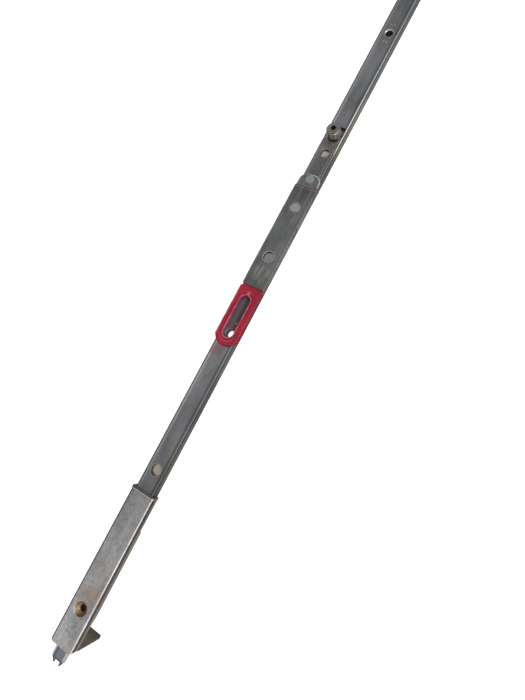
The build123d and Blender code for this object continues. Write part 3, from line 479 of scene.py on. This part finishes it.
def carriage_marks(net, tone, rough):
    """Painted highlights on the edges, tip and hole rim, a darker patch by the cam and a painted yellow
    reflection.
    """
    along = net.along()
    sides = net.size(net.across())
    # Painted highlight along both edges
    tone = net.paint(tone, net.band(sides, 5.6 * MM, 5.9 * MM), 0.65, color(206, 196, 172))
    tone = net.paint(tone, net.band(along, up(431.0), up(437.0)), 0.6, color(118, 114, 102))
    # Painted highlight on the rounded tip's edge
    taper = net.plus(sides, net.product(net.minus(along, up(441.5)), 0.55))
    tip = net.product(net.band(taper, 5.5 * MM, 6.0 * MM), net.band(along, up(440.5), up(442.0)))
    tone = net.paint(tone, tip, 0.8, color(222, 220, 212))
    # Painted highlight round the hole's rim
    rim = net.inside(net.reach(CARRIAGE_HOLE), CARRIAGE_HOLE_RADIUS - 0.05 * MM,
                     CARRIAGE_HOLE_RADIUS + 0.45 * MM, 0.15 * MM)
    tone = net.paint(tone, rim, 0.4, color(200, 196, 184))
    # Painted reflection: a yellow streak on the plate
    yellow_reflection = net.spot(up(437.2), -3.4 * MM, 0.7 * MM, 1.0 * MM, raggedness=1.5 * MM, scale=900.0)
    tone = net.paint(tone, yellow_reflection, 0.6, color(216, 190, 130))
    return tone, rough


def bore_marks(net, tone, rough):
    """Painted glints round the upper screw hole, reddish grime with painted shade down three bores, and
    painted shade in the middle one.
    """
    # Painted glints round the upper hole's head
    glints = net.product(net.inside(net.reach(UPPER_HOLE), 3.3 * MM, 4.3 * MM, 0.2 * MM),
                         net.band(net.noise(700.0, detail=2.0), 0.42, 0.55))
    tone = net.paint(tone, glints, 0.7, color(236, 236, 226))
    holes = (UPPER_HOLE, TOP_HOLE, HOUSING_HOLE)
    # Reddish grime and painted shade darken three bores
    bores = [net.band(net.reach(hole), BORE_RADIUS + 0.05 * MM, BORE_RADIUS - 0.05 * MM) for hole in holes]
    dirt_and_shade = net.largest(*bores)
    tone = net.paint(tone, dirt_and_shade, 0.92, color(62, 44, 38))
    # Painted shade on one side of the middle bore
    shaded = net.product(net.band(net.reach(SLOT_HOLE), 3.5 * MM, 3.3 * MM),
                         net.band(net.across(), -1.6 * MM, 0.4 * MM))
    tone = net.paint(tone, shaded, 0.85, color(50, 44, 42))
    return tone, net.plus(rough, net.product(dirt_and_shade, 0.4))


def cam_marks(net, tone, rough):
    """Painted shade in the socket, a painted yellow reflection and a painted highlight down the roller, and a
    dark groove on its face.
    """
    reach = net.reach(CAM)
    # Painted shade inside the hex socket
    socket = net.product(net.band(reach, 2.35 * MM, 2.2 * MM), net.band(net.front(), ahead(7.95), ahead(7.7)))
    tone = net.paint(tone, socket, 0.9, color(34, 26, 24))
    outside = net.band(reach, 5.5 * MM, 5.8 * MM)
    # Painted yellow reflection down the roller's side
    yellow_reflection = net.spot(up(441.2), -3.2 * MM, 0.6 * MM, 0.8 * MM, raggedness=1.2 * MM, scale=900.0)
    tone = net.paint(tone, net.product(outside, yellow_reflection), 0.75, color(226, 200, 112))
    # Painted highlight down the roller
    shine = net.spot(up(440.2), -0.6 * MM, 0.8 * MM, 0.5 * MM)
    tone = net.paint(tone, net.product(outside, shine), 0.9, color(250, 250, 246))
    groove = net.inside(reach, 3.0 * MM, 3.35 * MM, 0.1 * MM)
    tone = net.paint(tone, groove, 0.6, color(60, 56, 50))
    return tone, net.plus(rough, net.product(socket, 0.5))


def fork_marks(net, tone, rough):
    """Painted shade on the web with a painted shadow down each side, painted highlights on the flanges and
    painted shadow at the points.
    """
    sides = net.size(net.across())
    # Painted shade on the web between the flanges
    web = net.band(sides, 4.35 * MM, 4.15 * MM)
    tone = net.paint(tone, web, 0.85, color(116, 124, 130))
    # Painted highlight on the flanges
    flanges = net.product(net.band(sides, 4.35 * MM, 4.5 * MM),
                          net.band(net.front(), ahead(-6.5), ahead(-4.0)))
    tone = net.paint(tone, flanges, 0.9, color(254, 252, 246))
    # Painted shadow at the prongs' points
    tone = net.paint(tone, net.band(net.along(), up(-10.5), up(-12.5)), 0.6, color(84, 84, 88))
    shadow = net.product(web, net.band(sides, 4.0 * MM, 4.15 * MM))
    tone = net.paint(tone, shadow, 0.8, color(66, 66, 68))
    return tone, net.plus(rough, net.product(flanges, 0.3))


SWIRL_WAVES = 6800.0


def rivet_marks(net, tone, rough):
    """Dark seam round the two heads on the cover, and a faint turned swirl on them."""
    for rivet in (COVER_RIVET, TONGUE_RIVET):
        reach = net.reach(rivet)
        seam = net.inside(reach, RIVET_HEAD_RADIUS - 0.2 * MM, RIVET_HEAD_RADIUS + 0.1 * MM, 0.1 * MM)
        tone = net.paint(tone, seam, 0.5, color(70, 66, 60))
        swirl = net.math("SINE", net.product(reach, SWIRL_WAVES))
        head = net.band(reach, RIVET_HEAD_RADIUS - 0.1 * MM, RIVET_HEAD_RADIUS - 0.3 * MM)
        tone = net.paint(tone, head, net.band(swirl, 0.0, 1.0, 0.1, 0.4), color(216, 222, 220))
    return tone, rough


def rod_marks(net, tone, rough):
    """Darker lower stretch, painted shade beside the cam and a painted shadow in the carriage's hole."""
    along = net.along()
    tone = net.scaled(tone, net.band(along, up(160.0), up(400.0), 0.66, 1.0))
    # Painted shade on the rod in the slot beside the cam
    tone = net.paint(tone, net.band(along, up(438.0), up(441.0)), 0.85, color(88, 86, 80))
    reach = net.reach(CARRIAGE_HOLE)
    shadow = net.product(net.band(reach, 2.3 * MM, 3.0 * MM),
                         net.band(net.plus(net.across(), along), up(428.0), up(430.0)),
                         net.band(reach, 5.0 * MM, 4.8 * MM))
    tone = net.paint(tone, shadow, 0.8, color(64, 62, 58))
    return tone, rough


def guide_nylon():
    """Black plastic with a fine grain."""
    material, net, shader = new_material("guide_nylon_black")
    grain = net.noise(900.0)
    tone = net.mix(net.band(grain, 0.3, 0.7), color(30, 30, 31), color(52, 51, 50))
    net.dress(shader, tone, net.band(grain, 0.2, 0.8, 0.45, 0.6), grain, 0.2, GRAIN_DEPTH)
    return material


SPECK_DEPTH = 0.05 * MM


def slide_marks(net, tone):
    """Painted highlights on the rim round the slot, the nose, the left edge and the rim's crest, and painted
    shade on the foot and the right side.
    """
    along = net.along()
    across = net.across()
    past_end = net.largest(net.minus(SLOT_HOLE, along), net.minus(along, SLOT_HOLE + SLOT_TRAVEL), 0.0)
    ring = net.distance(past_end, across)
    broken_up = net.band(net.noise(260.0), 0.35, 0.6, 0.25, 1.0)
    # Painted highlight on the rim round the slot, broken up by noise
    rim = net.product(net.inside(ring, 4.6 * MM, 5.4 * MM, 0.15 * MM), broken_up)
    tone = net.paint(tone, rim, 0.75, color(222, 128, 142))
    # Painted shade on the foot below the rim
    foot = net.product(net.inside(ring, 6.3 * MM, 6.8 * MM, 0.2 * MM), broken_up)
    tone = net.paint(tone, foot, 0.65, color(104, 6, 24))
    # Painted highlight on the nose
    nose = net.product(net.inside(ring, 7.3 * MM, 7.8 * MM, 0.2 * MM), net.band(along, up(260.0), up(257.0)))
    tone = net.paint(tone, nose, 0.5, color(220, 112, 126))
    # Painted highlight along the left edge
    left_edge = net.product(net.inside(across, 8.6 * MM, 9.9 * MM, 0.25 * MM), broken_up)
    tone = net.paint(tone, left_edge, 0.6, color(214, 112, 128))
    # Painted highlight on the rim's crest above the slot
    patch = net.spot(up(295.6), 0.0, 1.4 * MM, 1.0 * MM)
    tone = net.paint(tone, patch, 0.6, color(224, 120, 132))
    # Painted shade on the right side
    return net.paint(tone, net.band(across, -9.9 * MM, -10.3 * MM), 0.6, color(110, 8, 30))


def slide_red():
    """Satin red plastic with pale and dark specks."""
    material, net, shader = new_material("slide_red_satin")
    flow = net.noise(60.0, detail=4.0)
    speck = net.noise(1500.0, roughness=0.7)
    tone = net.mix(net.band(flow, 0.3, 0.7), color(150, 10, 40), color(170, 16, 50))
    tone = net.mix(net.band(speck, 0.62, 0.75, 0.0, 0.35), tone, color(206, 84, 96))
    tone = net.mix(net.band(speck, 0.36, 0.28, 0.0, 0.4), tone, color(104, 14, 28))
    rough = net.band(flow, 0.3, 0.7, 0.3, 0.42)
    net.dress(shader, slide_marks(net, tone), rough, speck, 0.18, SPECK_DEPTH)
    shader.inputs["IOR"].default_value = 1.5
    return material


rail_zinc = plate_metal("rail_zinc_worn", color(139, 141, 143), color(168, 160, 146), 0.3,
                        marks=(rail_sides, rail_holes, rail_face))
housing_zinc = plate_metal("housing_zinc_worn", color(192, 191, 190), color(180, 170, 158), 0.3,
                           mottle=0.32, marks=(housing_wear, housing_hole, housing_ends))
foot_steel = plate_metal("foot_steel_dull", color(120, 120, 112), color(120, 112, 96), 0.45)
carriage_zinc = plate_metal("carriage_zinc_worn", color(146, 147, 148), color(160, 148, 128), 0.3,
                            marks=(carriage_marks,))
cover_zinc = plate_metal("cover_zinc_brushed", color(128, 131, 131), color(164, 156, 138), 0.3,
                         brush=0.7, marks=(cover_streaks, cover_spots))
rivet_steel = plate_metal("rivet_steel_blue", color(186, 196, 196), color(170, 170, 160), 0.35,
                          mottle=0.25, marks=(rivet_marks,))
rod_zinc = plate_metal("rod_zinc_clean", color(222, 214, 200), color(200, 188, 166), 0.4,
                       mottle=0.15, brush=0.2, marks=(rod_marks,))
fork_zinc = plate_metal("fork_zinc_bright", color(206, 214, 222), color(200, 200, 196), 0.22,
                        mottle=0.12, brush=0.12, marks=(fork_marks,))
bush_steel = plate_metal("bush_steel_turned", color(170, 160, 146), color(120, 86, 62), 0.3,
                         mottle=0.25, marks=(bore_marks,))
cam_steel = plate_metal("cam_steel_polished", color(166, 164, 158), color(150, 132, 104), 0.18,
                        mottle=0.3, brush=0.1, marks=(cam_marks,))
gear_steel = plate_metal("gear_steel_hard", color(150, 150, 148), color(130, 118, 100), 0.3)
washer_steel = plate_metal("washer_steel_dark", color(84, 82, 78), color(70, 60, 50), 0.4)
case_zinc = plate_metal("case_zinc_cast", color(176, 178, 180), color(160, 158, 150), 0.5,
                        mottle=0.15, brush=0.0, grain=0.5)
nylon = guide_nylon()
red = slide_red()

FINISHES = {
    "guide_rail": rail_zinc, "end_housing": housing_zinc, "foot_plate": foot_steel, "rod_guides": nylon,
    "screw_bush_lower": bush_steel, "screw_bush_middle": bush_steel, "screw_bushes_upper": bush_steel,
    "gear_case_left": case_zinc, "gear_case_right": case_zinc, "screw_sleeves": bush_steel,
    "case_rivets": rivet_steel, "case_mount_rivets": rivet_steel,
    "drive_rod": rod_zinc, "fork_end": fork_zinc, "fork_rivet": rivet_steel,
    "carriage_plate": carriage_zinc, "carriage_spacer": rod_zinc, "cover_plate": cover_zinc,
    "tongue_rivet": rivet_steel, "cover_rivet": rivet_steel, "slot_guide": red,
    "rack": gear_steel, "rack_rivets": rivet_steel, "spindle_gear": gear_steel,
    "cam_washer": washer_steel, "cam_stud": cam_steel, "cam_roller": cam_steel,
}

# Widths of the rounded edges in millimetres, with one for every node that isn't named
EDGES = {
    "guide_rail": 0.12, "end_housing": 0.18, "foot_plate": 0.25, "fork_end": 0.15, "slot_guide": 0.16,
    "cover_plate": 0.14, "carriage_plate": 0.14, "cam_roller": 0.12, "cam_stud": 0.1,
    "gear_case_left": 0.35, "gear_case_right": 0.35, "case_rivets": 0.2, "case_mount_rivets": 0.3,
}
PLAIN_EDGE = 0.1
# Bends above the first angle get a rounded edge, and those above the second are shaded sharp
ROUNDED_ANGLE = math.radians(35.0)
SHARP_ANGLE = math.radians(32.0)
WELD_DISTANCE = 0.002 * MM


def smooth_group():
    """Node group that shades bends smooth and keeps real edges sharp."""
    group = bpy.data.node_groups.new("smooth_bends", "GeometryNodeTree")
    group.interface.new_socket("Geometry", in_out="INPUT", socket_type="NodeSocketGeometry")
    group.interface.new_socket("Geometry", in_out="OUTPUT", socket_type="NodeSocketGeometry")
    net = Nodes(group)
    start = net.add("NodeGroupInput").outputs[0]
    plain = net.add("GeometryNodeRemoveAttribute", {"Geometry": start, "Name": "custom_normal"}).outputs[0]
    soft = net.add("GeometryNodeSetShadeSmooth", {0: plain, "Shade Smooth": True}, domain="FACE").outputs[0]
    angle = net.add("GeometryNodeInputMeshEdgeAngle").outputs["Unsigned Angle"]
    steep = net.add("FunctionNodeCompare", {0: angle, 1: SHARP_ANGLE}, data_type="FLOAT",
                    operation="GREATER_THAN").outputs[0]
    done = net.add("GeometryNodeSetShadeSmooth", {0: soft, "Selection": steep, "Shade Smooth": False},
                   domain="EDGE").outputs[0]
    net.add("NodeGroupOutput", {0: done})
    return group


smoothing = smooth_group()
for name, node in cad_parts.items():
    for slot in node.material_slots:
        slot.material = FINISHES[name]
    weld = node.modifiers.new("weld", "WELD")
    weld.merge_threshold = WELD_DISTANCE
    shading = node.modifiers.new("shading", "NODES")
    shading.node_group = smoothing
    bevel = node.modifiers.new("edge", "BEVEL")
    bevel.width = EDGES.get(name, PLAIN_EDGE) * MM
    bevel.segments = 2
    bevel.limit_method = "ANGLE"
    bevel.angle_limit = ROUNDED_ANGLE
    bevel.harden_normals = True

# Pale floor that touches the foot plate's edge and the gear case's rounded corner
FLOOR_HALF = 3.0
CASE_LUG = 11.5 * MM
CASE_CORNER = 8.0 * MM
foot_low, foot_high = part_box("foot_plate")
case_low, case_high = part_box("gear_case_left")
case_touch = case_high[0] - CASE_LUG - CASE_CORNER
floor_slope = (case_low[2] - foot_low[2]) / (case_touch - foot_high[0])


def floor_corner(x, y):
    """Place of the floor's corner, on the slope from the foot plate to the gear case."""
    return (x, y, foot_low[2] + (x - foot_high[0]) * floor_slope)


floor_mesh = bpy.data.meshes.new("floor")
corners = [floor_corner(-FLOOR_HALF, -FLOOR_HALF), floor_corner(FLOOR_HALF, -FLOOR_HALF),
           floor_corner(FLOOR_HALF, FLOOR_HALF), floor_corner(-FLOOR_HALF, FLOOR_HALF)]
floor_mesh.from_pydata(corners, [], [(0, 1, 2, 3)])
floor = new_object("floor", floor_mesh)
floor_material, floor_net, floor_shader = new_material("floor_white")
floor_shader.inputs["Base Color"].default_value = (0.85, 0.85, 0.85, 1.0)
floor_shader.inputs["Roughness"].default_value = 0.9
floor_shader.inputs["Emission Color"].default_value = (1.0, 1.0, 1.0, 1.0)
floor_shader.inputs["Emission Strength"].default_value = 0.8
floor_mesh.materials.append(floor_material)
floor.visible_glossy = False
floor.visible_diffuse = False

# Soft surroundings: bright above, dark at the horizon, warm below, and a soft box high on the right
SOFT_BOX = 1.7
BACKDROP = (0.9, 0.9, 0.9, 1.0)
world = bpy.data.worlds.new("surround")
bpy.context.scene.world = world
world.use_nodes = True
background = world.node_tree.nodes["Background"]
net = Nodes(world.node_tree)
direction = net.add("ShaderNodeTexCoord").outputs["Generated"]
east, north, rise = net.add("ShaderNodeSeparateXYZ", {0: direction}).outputs
above = net.product(net.band(rise, 0.3, 0.95, 0.06, 0.62), net.band(east, 0.3, -0.6, 0.85, 1.3))
soft_box = net.product(net.band(north, -0.3, -0.5), net.band(rise, 0.5, 0.6), net.band(rise, 0.9, 0.78))
above = net.plus(above, net.product(soft_box, SOFT_BOX))
below = net.band(rise, -0.15, -0.6, 0.0, 0.4)
red_light = net.plus(above, below)
green_light = net.plus(above, net.product(below, 0.93))
blue_light = net.plus(net.product(above, 1.03), net.product(below, 0.84))
lit = net.add("ShaderNodeCombineColor", {0: red_light, 1: green_light, 2: blue_light}).outputs[0]
seen = net.add("ShaderNodeLightPath").outputs["Is Camera Ray"]
net.feed(background, "Color", net.mix(seen, lit, BACKDROP))
background.inputs["Strength"].default_value = 1.0

# Large lamp above the photograph's right side
LAMP_PLACE = Vector((-0.35, -0.75, 1.05))
LAMP_AIM = Vector((-0.35, 0.0, 0.0))
LAMP_WIDTH = 1.1
LAMP_LENGTH = 2.4
LAMP_WATTS = 8.0
lamp_data = bpy.data.lights.new("key_right", "AREA")
lamp_data.shape = "RECTANGLE"
lamp_data.size = LAMP_WIDTH
lamp_data.size_y = LAMP_LENGTH
lamp_data.energy = LAMP_WATTS
lamp_back = (LAMP_PLACE - LAMP_AIM).normalized()
lamp_side = lamp_back.cross(Vector((1.0, 0.0, 0.0))).normalized()
lamp = new_object("key_right", lamp_data)
lamp.matrix_world = placed(LAMP_PLACE, lamp_side, lamp_side.cross(lamp_back), lamp_back)

bpy.context.scene.view_settings.view_transform = "Standard"
bpy.context.scene.view_settings.look = "None"
